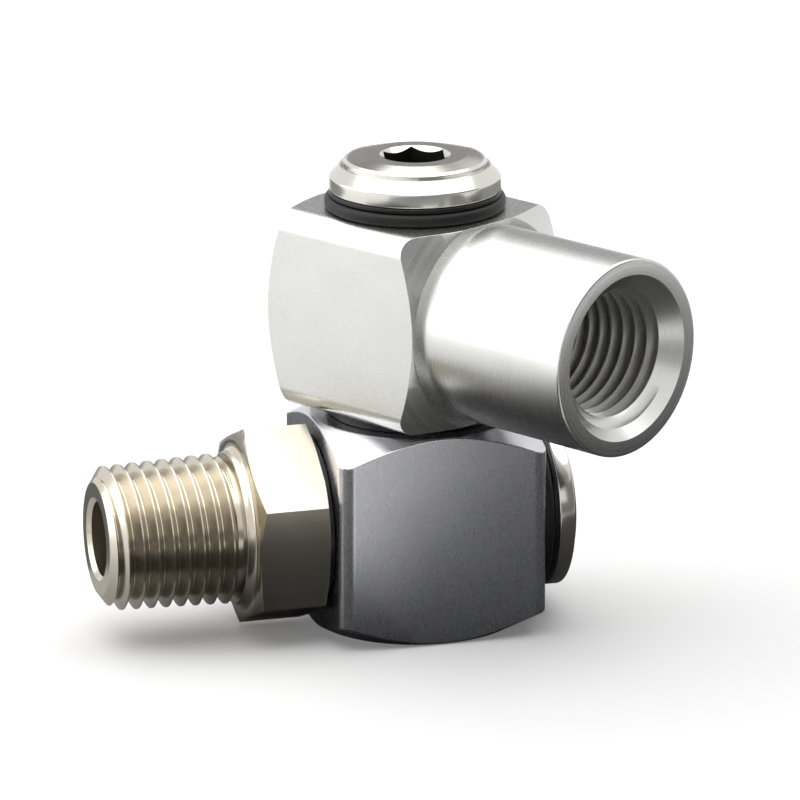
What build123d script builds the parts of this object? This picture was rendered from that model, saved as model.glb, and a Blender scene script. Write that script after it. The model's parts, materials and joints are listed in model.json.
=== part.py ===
from build123d import *
import os
from math import cos, radians, sin, sqrt, tan

# Two-plane hydraulic swivel fitting: a male-threaded adapter turns about X, a female port
# body turns about Z, and a square centre block between them passes the oil from one to the
# other. Origin: centre of the block's bottom face, on the vertical swivel axis. Millimetres.

# --- centre block and port body: square bars with turned ends -------------------------------
BLOCK_WIDTH = 20.0           # across the flats, and along the adapter's swivel axis
BLOCK_HEIGHT = 20.0
BLOCK_FACE_RADIUS = 9.7      # flat circle that the turned chamfer leaves on each end
PORT_WIDTH = 20.0            # across, square to the port's own axis
PORT_HEIGHT = 18.7
PORT_LENGTH = 18.7           # along the port's own axis, boss left out
PORT_FACE_RADIUS = 9.9
EDGE_ROUND = 1.4             # long edges of both bars
TURNED_ANGLE = 30.0          # slope of the chamfers turned on both bars' ends

# --- female port in a round boss -------------------------------------------------------------
PORT_YAW = -60.5             # direction of the port at rest, from +X about Z
BOSS_RADIUS = 9.15
BOSS_REACH = 26.55           # boss end face from the vertical swivel axis
BOSS_EDGE = 0.15
MOUTH_RADIUS = 7.7           # countersink at the end face
PORT_THREAD_RADIUS = 6.8     # bore at the thread's root, 1/4-18 taper pipe thread
PORT_THREAD_DEPTH = 12.9     # from the end face
TAP_DRILL_RADIUS = 5.6
DRILL_POINT = 59.0           # half angle of the drill's point
PORT_WATERWAY_RADIUS = 2.75

# --- male adapter ------------------------------------------------------------------------------
HEX_CLEARANCE = 0.185        # the turning hexagon's corners to the plane that the block stands on
HEX_LENGTH = 6.65
HEX_FACE_RADIUS = 8.2        # flat circle towards the thread
HEX_INNER_RADIUS = 8.7       # flat circle towards the block
HEX_CHAMFER_ANGLE = 16.0     # slope of the chamfers turned on the hexagon's ends
HEX_TURN = 23.5              # how far a corner stands round from the front at rest
NECK_RADIUS = 7.1
NECK_LENGTH = 1.35
NECK_FILLET = 0.8            # into the hexagon's face
MALE_THREAD_RADIUS = 6.8     # mean crest radius, 1/4-18 taper pipe thread
MALE_THREAD_LENGTH = 12.1
MALE_TIP_RADIUS = 5.9        # end face inside the lead chamfer
MALE_TIP_CHAMFER = 0.45
MALE_WATERWAY_RADIUS = 3.5
MALE_MOUTH_CHAMFER = 0.4

# --- swivel screw: head ------------------------------------------------------------------------
FLANGE_RADIUS = 7.95
FLANGE_EDGE = 0.2
TOP_FLANGE_WALL = 1.34
TOP_RIM_HEIGHT = 1.49        # rim above the flange's wall
SIDE_FLANGE_WALL = 1.6       # the side screw has the lower head
SIDE_RIM_HEIGHT = 0.4
RIM_RADIUS = 6.65
RIM_STEP = 0.25              # narrow groove between flange cone and rim
RIM_ROUND = 0.2
CROWN_RADIUS = 4.7           # raised middle inside the rim
CROWN_STEP = 0.15            # from the rim down to the crown's edge
CROWN_RISE = 0.42            # from the rim up to the crown's flat
CROWN_FLAT = 3.4             # flat ring round the socket
SOCKET_ACROSS = 5.556        # 7/32 in hexagon key
SOCKET_DEPTH = 3.5

# --- swivel screw: journal and threaded end --------------------------------------------------
JOURNAL_RADIUS = 5.0
RUNNING_CLEARANCE = 0.05     # journal in bushes and bore
GALLERY_WIDTH = 5.0
GALLERY_DEPTH = 1.1
GROOVE_LAND = 0.7            # collar between the gallery and each seal groove
GROOVE_WIDTH = 3.0
GROOVE_DEPTH = 1.45
SCREW_WATERWAY_RADIUS = 2.25
CROSS_PORT_RADIUS = 1.5
SCREW_THREAD_RADIUS = 4.0    # M8 fine
SCREW_THREAD_FIT = 0.02
SCREW_NECK_RADIUS = 3.5      # thread undercut under the shoulder, where the static seal sits
SCREW_NECK_LENGTH = 0.9
SCREW_TIP_CHAMFER = 0.5
BORE_COVER = 0.55            # metal left between the block's top hole and its side bore
SIDE_THREAD_LENGTH = 6.2     # into the adapter
THREAD_RUNOUT = 0.2          # hole deeper than the screw's end

# --- bushes, washers and seals ---------------------------------------------------------------
BUSH_WALL = 1.0
BUSH_LAND = 0.35             # between a bush's inner end and the seal groove in the journal
TOP_GAP = 0.8                # between block and port body
SIDE_GAP = 0.6               # between block and adapter
AXIAL_PLAY = 0.05
BASE_WASHER_RADIUS = 8.3
THRUST_WASHER_RADIUS = 8.0
THRUST_WASHER_THICKNESS = 0.45
DUST_SEAL_RADIUS = 8.4
DUST_SEAL_THICKNESS = 1.2
DUST_SEAL_EDGE = 0.35
WASHER_BORE_CLEARANCE = 0.15
ORING_WIDTH = 1.9            # section as squeezed between groove floor and bore
ORING_CLEARANCE = 0.03
ORING_EDGE = 0.45            # corners of the squeezed section
BACKUP_WIDTH = 1.0
STATIC_SEAL_SECTION = 0.66
STATIC_SEAL_SEAT = 0.7       # chamfer at the threaded hole's mouth

# --- worked out from the sizes above ---------------------------------------------------------
STEM_HEIGHT = BLOCK_HEIGHT / 2
PORT_BOTTOM = BLOCK_HEIGHT + TOP_GAP
PORT_TOP = PORT_BOTTOM + PORT_HEIGHT
PORT_AXIS_HEIGHT = PORT_BOTTOM + PORT_HEIGHT / 2
BORE_RADIUS = JOURNAL_RADIUS + RUNNING_CLEARANCE
BUSH_RADIUS = BORE_RADIUS + BUSH_WALL
HEAD_STANDOFF = DUST_SEAL_THICKNESS + THRUST_WASHER_THICKNESS + AXIAL_PLAY
SCREW_HOLE_RADIUS = SCREW_THREAD_RADIUS + SCREW_THREAD_FIT
GROOVE_START = GALLERY_WIDTH / 2 + GROOVE_LAND
GROOVE_RADIUS = JOURNAL_RADIUS - GROOVE_DEPTH
GROOVE_END = GROOVE_START + GROOVE_WIDTH
ADAPTER_FACE = -(BLOCK_WIDTH / 2 + SIDE_GAP)
HEX_CORNER = STEM_HEIGHT - HEX_CLEARANCE  # 17 mm across the flats
TOP_THREAD_LENGTH = BLOCK_HEIGHT / 2 - BORE_RADIUS - BORE_COVER - THREAD_RUNOUT
SIDE_SPAN = BLOCK_WIDTH
TOP_SPAN = PORT_HEIGHT

port_direction = Vector(cos(radians(PORT_YAW)), sin(radians(PORT_YAW)), 0)
port_across = Vector(-sin(radians(PORT_YAW)), cos(radians(PORT_YAW)), 0)

# Frames: local z runs along each axis, out of the object.
port_frame = Plane(origin=(0, 0, PORT_AXIS_HEIGHT), x_dir=port_across, z_dir=port_direction)
male_frame = Plane(origin=(ADAPTER_FACE, 0, STEM_HEIGHT), x_dir=(0, -1, 0), z_dir=(-1, 0, 0))
top_seat = Plane(origin=(0, 0, PORT_TOP), x_dir=(1, 0, 0), z_dir=(0, 0, 1))
side_seat = Plane(origin=(BLOCK_WIDTH / 2, 0, STEM_HEIGHT), x_dir=(0, 1, 0), z_dir=(1, 0, 0))


def frame_axis(frame):
    """The frame's z direction as an axis to revolve about."""
    return Axis(frame.origin, frame.z_dir)


def half_section(frame):
    """The half plane in which x is the radius and y the height along the frame's axis."""
    return Plane(origin=frame.origin, x_dir=frame.x_dir, z_dir=frame.x_dir.cross(frame.z_dir))


def turned_drop(corner, face, angle):
    """Height of a turned chamfer from the face circle out to the bar's corners."""
    return (corner - face) * tan(radians(angle))


def turned_profile(frame, points):
    """Closed half section of a turned shape, as (radius, height) points."""
    with BuildSketch(half_section(frame)) as profile:
        with BuildLine():
            Polyline(*points, close=True)
        make_face()
    return profile.sketch


def turned_blank(frame, low, high, corner, low_face, high_face, angle=TURNED_ANGLE):
    """Profile of a drum with a cone at each end, which a bar's turned ends stay inside."""
    return turned_profile(frame, [
        (0, low),
        (low_face, low),
        (corner, low + turned_drop(corner, low_face, angle)),
        (corner, high - turned_drop(corner, high_face, angle)),
        (high_face, high),
        (0, high),
    ])


def bar_corner(width, height):
    """Largest radius of a rectangular bar with rounded long edges."""
    return sqrt((width / 2 - EDGE_ROUND) ** 2 + (height / 2 - EDGE_ROUND) ** 2) + EDGE_ROUND


def bush_length(span):
    """A bush reaches from the bore's end to just short of the seal groove."""
    return span / 2 - GROOVE_END - BUSH_LAND


def swivel_bore(seat, span):
    """Profile of the bore for a screw's journal, opened at each end for a bush."""
    bush = bush_length(span)
    return turned_profile(seat, [
        (0, -span),
        (BUSH_RADIUS, -span),
        (BUSH_RADIUS, bush - span),
        (BORE_RADIUS, bush - span),
        (BORE_RADIUS, -bush),
        (BUSH_RADIUS, -bush),
        (BUSH_RADIUS, 0),
        (0, 0),
    ])


def screw_hole(frame, depth):
    """Profile of a threaded hole for a screw's end, the static seal's seat at its mouth."""
    return turned_profile(frame, [
        (0, 0),
        (SCREW_HOLE_RADIUS + STATIC_SEAL_SEAT, 0),
        (SCREW_HOLE_RADIUS, -STATIC_SEAL_SEAT),
        (SCREW_HOLE_RADIUS, -depth),
        (0, -depth),
    ])


def make_centre_block():
    """Square block: side bore for the adapter's screw, top hole for the port body's."""
    block_top = Plane.XY.offset(BLOCK_HEIGHT)
    corner = bar_corner(BLOCK_WIDTH, BLOCK_WIDTH)
    face = BLOCK_FACE_RADIUS
    with BuildPart() as centre_block:
        with BuildSketch(Plane.XY):
            RectangleRounded(BLOCK_WIDTH, BLOCK_WIDTH, EDGE_ROUND)
        extrude(amount=BLOCK_HEIGHT)
        blank = turned_blank(Plane.XY, 0, BLOCK_HEIGHT, corner, face, face)
        revolve(blank, axis=Axis.Z, mode=Mode.INTERSECT)
        side_bore = swivel_bore(side_seat, SIDE_SPAN)
        revolve(side_bore, axis=frame_axis(side_seat), mode=Mode.SUBTRACT)
        top_hole = screw_hole(block_top, TOP_THREAD_LENGTH + THREAD_RUNOUT)
        revolve(top_hole, axis=Axis.Z, mode=Mode.SUBTRACT)
        with BuildSketch(Plane.XY.offset(STEM_HEIGHT)):
            Circle(SCREW_WATERWAY_RADIUS)
        extrude(amount=BLOCK_HEIGHT / 2, mode=Mode.SUBTRACT)
    centre_block.part.label = "centre_block"
    return centre_block.part


def female_port():
    """Profile of the countersunk mouth, threaded bore, drill point and waterway."""
    thread_end = BOSS_REACH - PORT_THREAD_DEPTH
    thread_mouth = BOSS_REACH - (MOUTH_RADIUS - PORT_THREAD_RADIUS)
    drill_end = thread_end - (PORT_THREAD_RADIUS - TAP_DRILL_RADIUS)
    point_length = (TAP_DRILL_RADIUS - PORT_WATERWAY_RADIUS) / tan(radians(DRILL_POINT))
    return turned_profile(port_frame, [
        (0, 0),
        (PORT_WATERWAY_RADIUS, 0),
        (PORT_WATERWAY_RADIUS, drill_end - point_length),
        (TAP_DRILL_RADIUS, drill_end),
        (PORT_THREAD_RADIUS, thread_end),
        (PORT_THREAD_RADIUS, thread_mouth),
        (MOUTH_RADIUS, BOSS_REACH),
        (0, BOSS_REACH),
    ])


def make_port_body():
    """Square bar turned at both ends, with a round boss for the female port."""
    half = PORT_LENGTH / 2
    corner = bar_corner(PORT_WIDTH, PORT_HEIGHT)
    face = PORT_FACE_RADIUS
    port_axis = frame_axis(port_frame)
    with BuildPart() as port_body:
        with BuildSketch(port_frame.offset(-half)):
            RectangleRounded(PORT_WIDTH, PORT_HEIGHT, EDGE_ROUND)
        extrude(amount=PORT_LENGTH)
        blank = turned_blank(port_frame, -half, half, corner, face, face)
        revolve(blank, axis=port_axis, mode=Mode.INTERSECT)
        boss = turned_profile(port_frame, [
            (0, 0),
            (BOSS_RADIUS, 0),
            (BOSS_RADIUS, BOSS_REACH - BOSS_EDGE),
            (BOSS_RADIUS - BOSS_EDGE, BOSS_REACH),
            (0, BOSS_REACH),
        ])
        revolve(boss, axis=port_axis)
        revolve(female_port(), axis=port_axis, mode=Mode.SUBTRACT)
        revolve(swivel_bore(top_seat, TOP_SPAN), axis=Axis.Z, mode=Mode.SUBTRACT)
    port_body.part.label = "port_body"
    return port_body.part


def make_male_adapter():
    """Hexagon, neck and male pipe thread on one axis, bored through."""
    thread_start = HEX_LENGTH + NECK_LENGTH
    tip = thread_start + MALE_THREAD_LENGTH
    male_axis = frame_axis(male_frame)
    inner_face = Plane(origin=male_frame.origin, x_dir=male_frame.x_dir, z_dir=(1, 0, 0))
    with BuildPart() as male_adapter:
        with BuildSketch(male_frame):
            RegularPolygon(radius=HEX_CORNER, side_count=6, rotation=HEX_TURN)
        extrude(amount=HEX_LENGTH)
        faces = (HEX_INNER_RADIUS, HEX_FACE_RADIUS)
        blank = turned_blank(male_frame, 0, HEX_LENGTH, HEX_CORNER, *faces, HEX_CHAMFER_ANGLE)
        revolve(blank, axis=male_axis, mode=Mode.INTERSECT)
        fillet_foot = NECK_RADIUS + NECK_FILLET
        fillet_end = HEX_LENGTH + NECK_FILLET
        with BuildSketch(half_section(male_frame)) as spigot:
            with BuildLine():
                CenterArc((fillet_foot, fillet_end), NECK_FILLET, 180, 90)
                Polyline(
                    (NECK_RADIUS, fillet_end),
                    (NECK_RADIUS, thread_start),
                    (MALE_THREAD_RADIUS, thread_start + NECK_RADIUS - MALE_THREAD_RADIUS),
                    (MALE_THREAD_RADIUS, tip - MALE_TIP_CHAMFER),
                    (MALE_TIP_RADIUS, tip),
                    (0, tip),
                    (0, 0),
                    (fillet_foot, 0),
                    (fillet_foot, HEX_LENGTH),
                )
            make_face()
        revolve(spigot.sketch, axis=male_axis)
        waterway = turned_profile(male_frame, [
            (0, 0),
            (MALE_WATERWAY_RADIUS, 0),
            (MALE_WATERWAY_RADIUS, tip - MALE_MOUTH_CHAMFER),
            (MALE_WATERWAY_RADIUS + MALE_MOUTH_CHAMFER, tip),
            (0, tip),
        ])
        revolve(waterway, axis=male_axis, mode=Mode.SUBTRACT)
        screw_end = screw_hole(inner_face, SIDE_THREAD_LENGTH + THREAD_RUNOUT)
        revolve(screw_end, axis=male_axis, mode=Mode.SUBTRACT)
    male_adapter.part.label = "male_adapter"
    return male_adapter.part


def screw_outline(shoulder, span, thread_length, flange_wall, rim_height):
    """Half section of a swivel screw, from its tip up the outside to the crown of its head."""
    gallery = -span / 2
    gallery_radius = JOURNAL_RADIUS - GALLERY_DEPTH
    tip = shoulder - thread_length
    neck_end = shoulder - SCREW_NECK_LENGTH
    flange_top = HEAD_STANDOFF + flange_wall
    rim_top = flange_top + rim_height
    groove_top = rim_top - RIM_STEP
    points = [
        (0, tip),
        (SCREW_THREAD_RADIUS - SCREW_TIP_CHAMFER, tip),
        (SCREW_THREAD_RADIUS, tip + SCREW_TIP_CHAMFER),
        (SCREW_THREAD_RADIUS, neck_end - (SCREW_THREAD_RADIUS - SCREW_NECK_RADIUS)),
        (SCREW_NECK_RADIUS, neck_end),
        (SCREW_NECK_RADIUS, shoulder),
        (JOURNAL_RADIUS, shoulder),
    ]
    grooves = (
        (gallery - GROOVE_END, gallery - GROOVE_START, GROOVE_RADIUS),
        (gallery - GALLERY_WIDTH / 2, gallery + GALLERY_WIDTH / 2, gallery_radius),
        (gallery + GROOVE_START, gallery + GROOVE_END, GROOVE_RADIUS),
    )
    for low, high, floor in grooves:
        points += [(JOURNAL_RADIUS, low), (floor, low), (floor, high), (JOURNAL_RADIUS, high)]
    points += [
        (JOURNAL_RADIUS, HEAD_STANDOFF),
        (FLANGE_RADIUS - FLANGE_EDGE, HEAD_STANDOFF),
        (FLANGE_RADIUS, HEAD_STANDOFF + FLANGE_EDGE),
        (FLANGE_RADIUS, flange_top),
        (RIM_RADIUS + RIM_STEP, groove_top),
        (RIM_RADIUS, groove_top - RIM_STEP),
        (RIM_RADIUS, rim_top - RIM_ROUND),
        (RIM_RADIUS - RIM_ROUND, rim_top),
        (CROWN_RADIUS, rim_top),
        (CROWN_RADIUS, rim_top - CROWN_STEP),
        (CROWN_FLAT, rim_top + CROWN_RISE),
        (0, rim_top + CROWN_RISE),
    ]
    return points


def make_swivel_screw(label, seat, span, gap, thread_length, flange_wall, rim_height):
    """Hollow screw: socket head, journal with seal grooves and gallery, threaded end."""
    shoulder = -(span + gap)
    tip = shoulder - thread_length
    gallery_top = -span / 2 + GALLERY_WIDTH / 2
    socket_top = HEAD_STANDOFF + flange_wall + rim_height + CROWN_RISE
    with BuildPart() as screw:
        points = screw_outline(shoulder, span, thread_length, flange_wall, rim_height)
        revolve(turned_profile(seat, points), axis=frame_axis(seat))
        with BuildSketch(seat.offset(socket_top)):
            RegularPolygon(radius=SOCKET_ACROSS / sqrt(3), side_count=6)
        extrude(amount=-SOCKET_DEPTH, mode=Mode.SUBTRACT)
        with BuildSketch(seat.offset(tip)):
            Circle(SCREW_WATERWAY_RADIUS)
        extrude(amount=gallery_top - tip, mode=Mode.SUBTRACT)
        gallery_centre = seat.offset(-span / 2).origin
        for direction in (seat.x_dir, seat.y_dir):
            with BuildSketch(Plane(origin=gallery_centre, x_dir=seat.z_dir, z_dir=direction)):
                Circle(CROSS_PORT_RADIUS)
            extrude(amount=JOURNAL_RADIUS, both=True, mode=Mode.SUBTRACT)
    screw.part.label = label
    return screw.part


def make_ring(label, seat, inner, outer, low, high, inner_edge=0.0, outer_edge=0.0):
    """Ring of rectangular section about the seat's axis, its corners cut where asked."""
    with BuildPart() as ring:
        with BuildSketch(half_section(seat)) as section:
            with BuildLine():
                Polyline((inner, low), (outer, low), (outer, high), (inner, high), close=True)
            make_face()
            corners = section.vertices().group_by(Axis.X)
            for group, edge in ((corners[-1], outer_edge), (corners[0], inner_edge)):
                if edge:
                    chamfer(group, edge)
        revolve(axis=frame_axis(seat))
    ring.part.label = label
    return ring.part


def make_static_seal(label, seat, shoulder):
    """Small ring under the screw's shoulder, in the chamfer of its threaded hole."""
    half = STATIC_SEAL_SECTION / 2
    with BuildPart() as ring:
        with BuildSketch(half_section(seat)):
            with Locations((SCREW_NECK_RADIUS + half, shoulder - half)):
                RegularPolygon(radius=half, side_count=8, major_radius=False, rotation=22.5)
        revolve(axis=frame_axis(seat))
    ring.part.label = label
    return ring.part


def make_journal_fittings(joint, seat, span, gap):
    """Bushes, seal rings and washers of one swivel joint."""
    loose = JOURNAL_RADIUS + WASHER_BORE_CLEARANCE
    sealed = BORE_RADIUS - ORING_CLEARANCE
    bush = bush_length(span)
    centre = -span / 2
    shoulder = -(span + gap)
    seal_near = GROOVE_START + (GROOVE_WIDTH - ORING_WIDTH - BACKUP_WIDTH) / 2
    seal_far = seal_near + ORING_WIDTH
    backup_far = seal_far + BACKUP_WIDTH
    under_head = DUST_SEAL_THICKNESS + AXIAL_PLAY
    edges = (ORING_EDGE, ORING_EDGE)
    rings = [
        ("thrust_washer", loose, THRUST_WASHER_RADIUS, under_head, HEAD_STANDOFF),
        ("dust_seal", loose, DUST_SEAL_RADIUS, 0, DUST_SEAL_THICKNESS, 0, DUST_SEAL_EDGE),
        ("outer_bush", BORE_RADIUS, BUSH_RADIUS, -bush, 0),
        ("outer_backup_ring", GROOVE_RADIUS, sealed, centre + seal_far, centre + backup_far),
        ("outer_oring", GROOVE_RADIUS, sealed, centre + seal_near, centre + seal_far, *edges),
        ("inner_oring", GROOVE_RADIUS, sealed, centre - seal_far, centre - seal_near, *edges),
        ("inner_backup_ring", GROOVE_RADIUS, sealed, centre - backup_far, centre - seal_far),
        ("inner_bush", BORE_RADIUS, BUSH_RADIUS, -span, bush - span),
        ("base_washer", loose, BASE_WASHER_RADIUS, shoulder, -span - AXIAL_PLAY),
    ]
    fittings = [make_ring(joint + "_" + name, seat, *sizes) for name, *sizes in rings]
    fittings.append(make_static_seal(joint + "_static_seal", seat, shoulder))
    return fittings


os.makedirs("parts", exist_ok=True)
top_joint = (top_seat, TOP_SPAN, TOP_GAP)
side_joint = (side_seat, SIDE_SPAN, SIDE_GAP)
top_head = (TOP_THREAD_LENGTH, TOP_FLANGE_WALL, TOP_RIM_HEIGHT)
side_head = (SIDE_THREAD_LENGTH, SIDE_FLANGE_WALL, SIDE_RIM_HEIGHT)
pieces = [
    make_centre_block(),
    make_port_body(),
    make_male_adapter(),
    make_swivel_screw("top_swivel_screw", *top_joint, *top_head),
    make_swivel_screw("side_swivel_screw", *side_joint, *side_head),
    *make_journal_fittings("top", *top_joint),
    *make_journal_fittings("side", *side_joint),
]
for piece in pieces:
    export_step(piece, "parts/" + piece.label + ".step")
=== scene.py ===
import json
from math import atan2, ceil, cos, pi, radians, sin, sqrt, tan

import bmesh
import bpy
from bpy.props import FloatProperty, FloatVectorProperty, IntProperty, PointerProperty
from mathutils import Matrix, Vector


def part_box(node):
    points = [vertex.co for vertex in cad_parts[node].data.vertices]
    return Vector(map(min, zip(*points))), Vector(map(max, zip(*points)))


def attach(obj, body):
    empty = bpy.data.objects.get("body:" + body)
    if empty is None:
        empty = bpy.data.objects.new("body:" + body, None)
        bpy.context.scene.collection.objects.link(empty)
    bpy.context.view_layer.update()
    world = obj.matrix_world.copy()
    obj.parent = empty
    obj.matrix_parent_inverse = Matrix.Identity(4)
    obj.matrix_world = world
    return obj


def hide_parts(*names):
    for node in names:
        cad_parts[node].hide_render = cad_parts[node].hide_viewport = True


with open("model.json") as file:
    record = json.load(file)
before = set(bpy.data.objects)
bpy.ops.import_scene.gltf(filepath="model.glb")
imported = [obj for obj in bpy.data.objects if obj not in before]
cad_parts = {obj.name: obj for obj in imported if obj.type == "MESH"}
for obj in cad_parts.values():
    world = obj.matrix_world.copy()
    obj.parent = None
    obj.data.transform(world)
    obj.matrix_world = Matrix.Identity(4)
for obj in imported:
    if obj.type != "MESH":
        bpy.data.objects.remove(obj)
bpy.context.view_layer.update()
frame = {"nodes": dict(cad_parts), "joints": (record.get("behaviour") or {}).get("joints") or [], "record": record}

bl_info = {
    "name": "Hydraulic Swivel Fitting",
    "version": (1, 0, 0),
    "blender": (4, 5, 0),
    "location": "View3D > Sidebar > Swivel",
    "description": "Dresses a two-plane hydraulic swivel fitting for the studio",
    "category": "Add Mesh",
}

MM = 0.001

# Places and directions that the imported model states.
JOINTS = {joint["name"]: joint for joint in frame["joints"]}
MOUNTS = {mount["name"]: mount for mount in frame["record"]["mounts"]}
BLOCK_LOW, BLOCK_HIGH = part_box("centre_block")
PORT_LOW, PORT_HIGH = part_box("port_body")
ADAPTER_LOW, ADAPTER_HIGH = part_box("male_adapter")
TOP_SCREW_LOW, TOP_SCREW_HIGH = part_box("top_swivel_screw")
SIDE_SCREW_LOW, SIDE_SCREW_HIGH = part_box("side_swivel_screw")
BLOCK_SIZE = BLOCK_HIGH - BLOCK_LOW
STEM_HEIGHT = JOINTS["stem_swivel"]["pos_m"][2]
PORT_AXIS_HEIGHT = JOINTS["port_swivel"]["pos_m"][2]
PORT_DIRECTION = Vector(MOUNTS["female_port"]["axis"]).normalized()
PORT_ACROSS = Vector((-PORT_DIRECTION.y, PORT_DIRECTION.x, 0))
JOURNAL_RADIUS = 5.0 * MM
RUNNING_CLEARANCE = 0.05 * MM  # between a journal and its bore
RING_CLEARANCE = 0.15 * MM     # between a journal and its washers
BUSH_WALL = 1.0 * MM
HEAD_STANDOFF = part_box("top_thrust_washer")[1].z - PORT_HIGH.z

# How far a cutter stands out past the face that it opens, so that no skin is left.
OVERCUT = 0.02 * MM
MERGE_DISTANCE = 0.001 * MM


def hex_to_linear(code):
    """An sRGB hex colour as the linear RGB that shaders and props use."""
    channels = [int(code[i:i + 2], 16) / 255 for i in (1, 3, 5)]
    return tuple(c / 12.92 if c <= 0.04045 else ((c + 0.055) / 1.055) ** 2.4 for c in channels)


def size_prop(name, description, default):
    """A length that a user would change."""
    return FloatProperty(
        name=name, description=description, default=default, min=0, unit="LENGTH", precision=5
    )


def colour_prop(name, description, code):
    """A finish's colour."""
    return FloatVectorProperty(
        name=name, description=description, default=hex_to_linear(code),
        min=0, max=1, size=3, subtype="COLOR",
    )


def rough_prop(name, description, default):
    """How matt a finish is."""
    return FloatProperty(
        name=name, description=description, default=default, min=0, max=1, subtype="FACTOR"
    )


def angle_prop(name, description, degrees):
    """An angle that a user would change."""
    return FloatProperty(
        name=name, description=description, default=radians(degrees), subtype="ANGLE"
    )


def level_prop(name, description, default):
    """How bright a light is."""
    return FloatProperty(name=name, description=description, default=default, min=0)


class BarStockSizes(bpy.types.PropertyGroup):
    """The two square bars with turned ends."""

    edge_round: size_prop("Edge round", "Radius of the block's long edges", 1.4 * MM)
    port_round: size_prop("Port edge round", "Radius of the port body's long edges", 1.95 * MM)
    turned_angle: angle_prop("Turned angle", "Slope of the turned chamfers", 30)
    block_face: size_prop("Block face", "Radius of the flat left on the block's ends", 9.7 * MM)
    port_width: size_prop("Port width", "Port body across its own axis", 20 * MM)
    port_length: size_prop("Port length", "Port body along its own axis, boss left out", 18.7 * MM)
    port_face: size_prop("Port face", "Radius of the flat left on the port body's ends", 9.9 * MM)
    boss_radius: size_prop("Boss radius", "Round boss that holds the female port", 9.15 * MM)
    boss_reach: size_prop("Boss reach", "Boss end face from the swivel axis", 26.55 * MM)
    boss_round: size_prop("Boss round", "Round on the boss's outer edge", 0.25 * MM)
    mouth_radius: size_prop("Mouth radius", "Countersink at the boss's end face", 7.7 * MM)
    mouth_depth: size_prop("Mouth depth", "Countersink along the port's axis", 2.08 * MM)
    tap_drill: size_prop("Tap drill", "Bore that the port's thread is cut in", 5.6 * MM)
    waterway_radius: size_prop("Port waterway", "Bore from the port to the joint", 2.75 * MM)
    edge_break: size_prop("Edge break", "Deburred edge on machined corners", 0.12 * MM)


class PipeThreadSizes(bpy.types.PropertyGroup):
    """Taper pipe thread, eighteen to the inch, on both ends of the fitting."""

    pitch: size_prop("Pitch", "Distance from crest to crest", 25.4 * MM / 18)
    depth: size_prop("Depth", "Crest to root", 1.02 * MM)
    crest_flat: size_prop("Crest flat", "Width of a crest's flat", 0.12 * MM)
    root_flat: size_prop("Root flat", "Width of a root's flat", 0.09 * MM)
    taper: FloatProperty(
        name="Taper", description="Radius lost per length", default=1 / 32, min=0
    )
    male_radius: size_prop("Male radius", "Crest radius beside the neck", 7.05 * MM)
    female_radius: size_prop("Female radius", "Root radius at the mouth", 6.8 * MM)
    female_depth: size_prop("Female depth", "Threaded length from the end face", 12.9 * MM)


class AdapterSizes(bpy.types.PropertyGroup):
    """Hexagon, neck and spigot of the male adapter."""

    hex_across: size_prop("Across flats", "Hexagon across its flats", 17 * MM)
    hex_length: size_prop("Hexagon length", "Along the adapter's axis", 6.65 * MM)
    hex_face: size_prop("Hexagon face", "Radius left flat towards the thread", 8.2 * MM)
    hex_inner: size_prop("Hexagon inner face", "Radius left flat towards the block", 8.7 * MM)
    hex_slope: angle_prop("Hexagon slope", "Slope of the chamfers turned on the hexagon", 16)
    hex_turn: angle_prop("Hexagon turn", "A corner's angle round from the front", 23.5)
    neck_radius: size_prop("Neck radius", "Plain neck beside the hexagon", 7.1 * MM)
    neck_length: size_prop("Neck length", "Along the adapter's axis", 1.35 * MM)
    neck_fillet: size_prop("Neck fillet", "Round from the neck into the hexagon", 0.8 * MM)
    groove_radius: size_prop("Groove radius", "Run-out groove where the thread ends", 6.2 * MM)
    tip_radius: size_prop("Tip radius", "End face inside the lead chamfer", 5.25 * MM)
    tip_round: size_prop("Tip round", "Round between end face and lead chamfer", 0.25 * MM)
    lead_length: size_prop("Lead length", "Chamfer that starts the thread", 1.3 * MM)
    edge_break: size_prop("Edge break", "Deburred edges of the hexagon", 0.14 * MM)
    screw_hole: size_prop("Screw hole", "Hole that the side screw is threaded into", 4.02 * MM)
    screw_hole_depth: size_prop("Screw hole depth", "From the hexagon's inner face", 6.4 * MM)
    waterway_radius: size_prop("Waterway radius", "Bore through the adapter", 3.5 * MM)


class ScrewHeadSizes(bpy.types.PropertyGroup):
    """Round socket head of both swivel screws."""

    flange_radius: size_prop("Flange radius", "Widest part of the head", 7.95 * MM)
    top_wall: size_prop("Top flange wall", "Upright wall of the top screw's flange", 1.34 * MM)
    side_wall: size_prop("Side flange wall", "Upright wall of the side screw's flange", 1.6 * MM)
    rim_radius: size_prop("Rim radius", "Outside of the raised rim", 6.65 * MM)
    rim_step: size_prop("Rim step", "Narrow groove between cone and rim", 0.28 * MM)
    rim_depth: size_prop("Rim depth", "Groove's outer edge under the crown", 0.86 * MM)
    rim_wall: size_prop("Rim wall", "Upright part of the rim over the groove's edge", 0.36 * MM)
    rim_chamfer: size_prop("Rim chamfer", "Slope on the rim's outer corner", 0.32 * MM)
    crown_flat: size_prop("Crown flat", "Radius where the crown's flat begins", 4.7 * MM)
    thread_radius: size_prop("Thread radius", "Screwed end of the journal", 4 * MM)
    undercut_radius: size_prop("Undercut radius", "Between thread and journal", 3.5 * MM)
    undercut_length: size_prop("Undercut length", "Between thread and journal", 0.9 * MM)
    tip_chamfer: size_prop("Tip chamfer", "Chamfer that starts the thread", 0.5 * MM)
    socket_across: size_prop("Socket across flats", "For a 7/32 in hexagon key", 5.556 * MM)
    socket_depth: size_prop("Socket depth", "From the crown's flat", 3.5 * MM)
    socket_turn: angle_prop("Socket turn", "A socket corner's angle round at rest", 20)


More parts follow.
